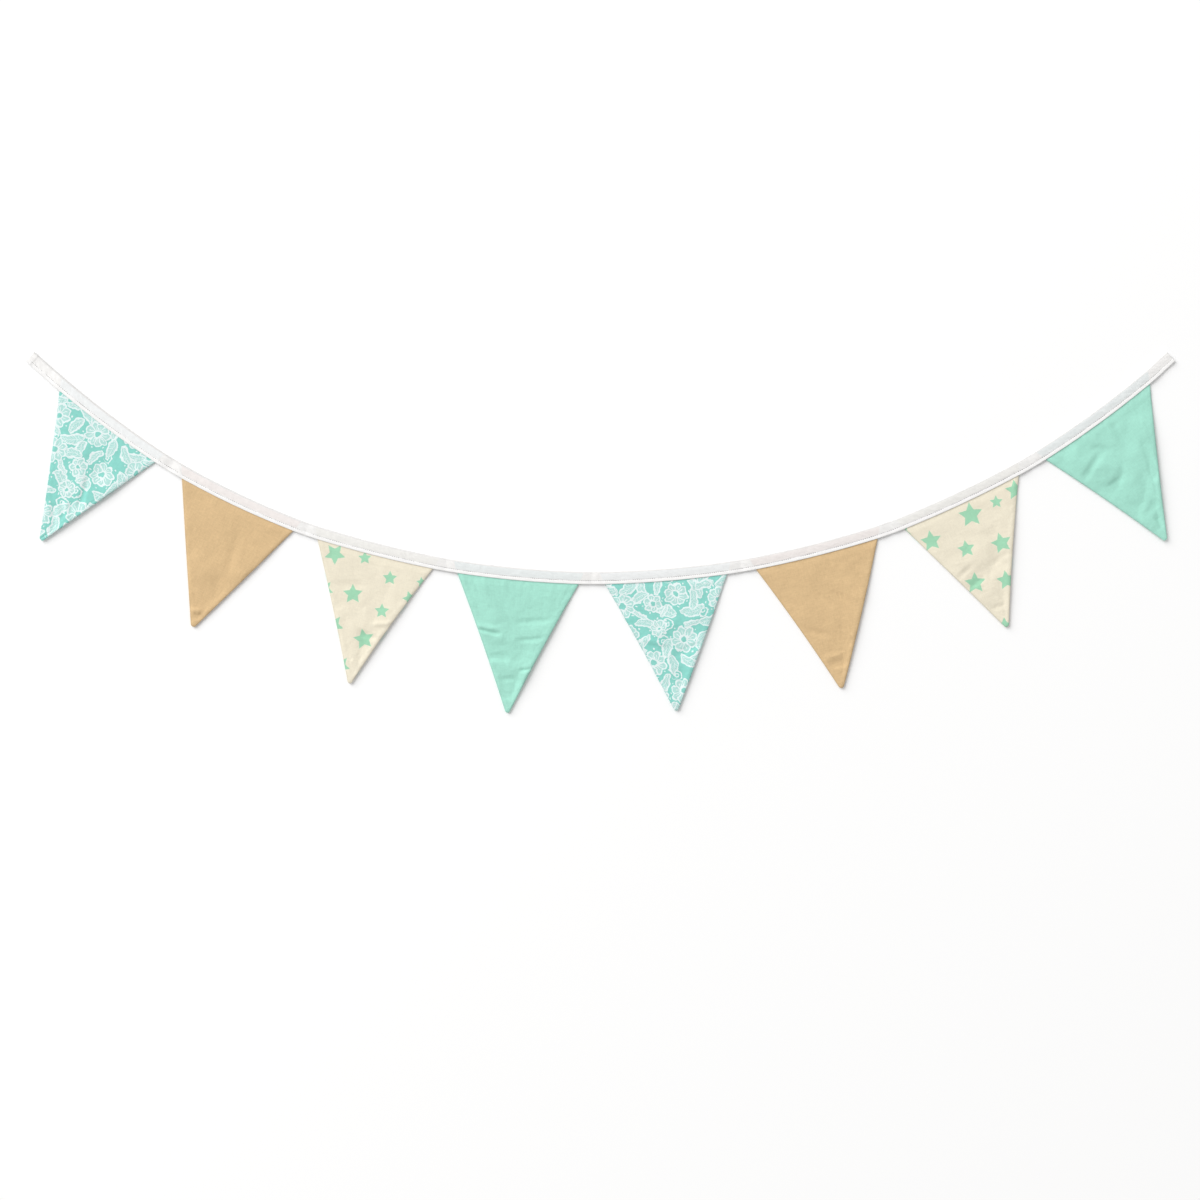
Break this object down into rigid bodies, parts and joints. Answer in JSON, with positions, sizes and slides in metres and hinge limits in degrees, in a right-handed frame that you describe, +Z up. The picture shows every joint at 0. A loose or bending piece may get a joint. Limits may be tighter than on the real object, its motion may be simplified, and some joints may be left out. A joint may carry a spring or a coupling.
{
  "type": "fabric bunting",
  "caption": "Swag of triangular cotton pennants, plain and printed, with their heads sewn into a folded white binding tape, laid flat.",
  "frame": {"origin": "under the middle of the whole bunting, on the surface it lies on", "axes": "+X along the swag to the right, +Y away from the pennants' tips, +Z up off the surface"},
  "size_m": [1.492, 0.4688, 0.0055],
  "materials": {
    "tape_cotton": "plain white cotton binding, matt",
    "floral_cotton": "plain-weave cotton printed with white line flowers on mint, matt",
    "sand_cotton": "plain-weave cotton in sand, matt",
    "star_cotton": "plain-weave cream cotton printed with green stars, matt",
    "mint_cotton": "plain-weave cotton in mint, matt, lightly creased"
  },
  "bodies": {
    "root": {"tape": "tape_cotton", "pennant_1_front": "floral_cotton", "pennant_1_back": "floral_cotton", "pennant_2_front": "sand_cotton", "pennant_2_back": "sand_cotton", "pennant_3_front": "star_cotton", "pennant_3_back": "star_cotton", "pennant_4_front": "mint_cotton", "pennant_4_back": "mint_cotton", "pennant_5_front": "floral_cotton", "pennant_5_back": "floral_cotton", "pennant_6_front": "sand_cotton", "pennant_6_back": "sand_cotton", "pennant_7_front": "star_cotton", "pennant_7_back": "star_cotton", "pennant_8_front": "mint_cotton", "pennant_8_back": "mint_cotton"}
  },
  "joints": []
}
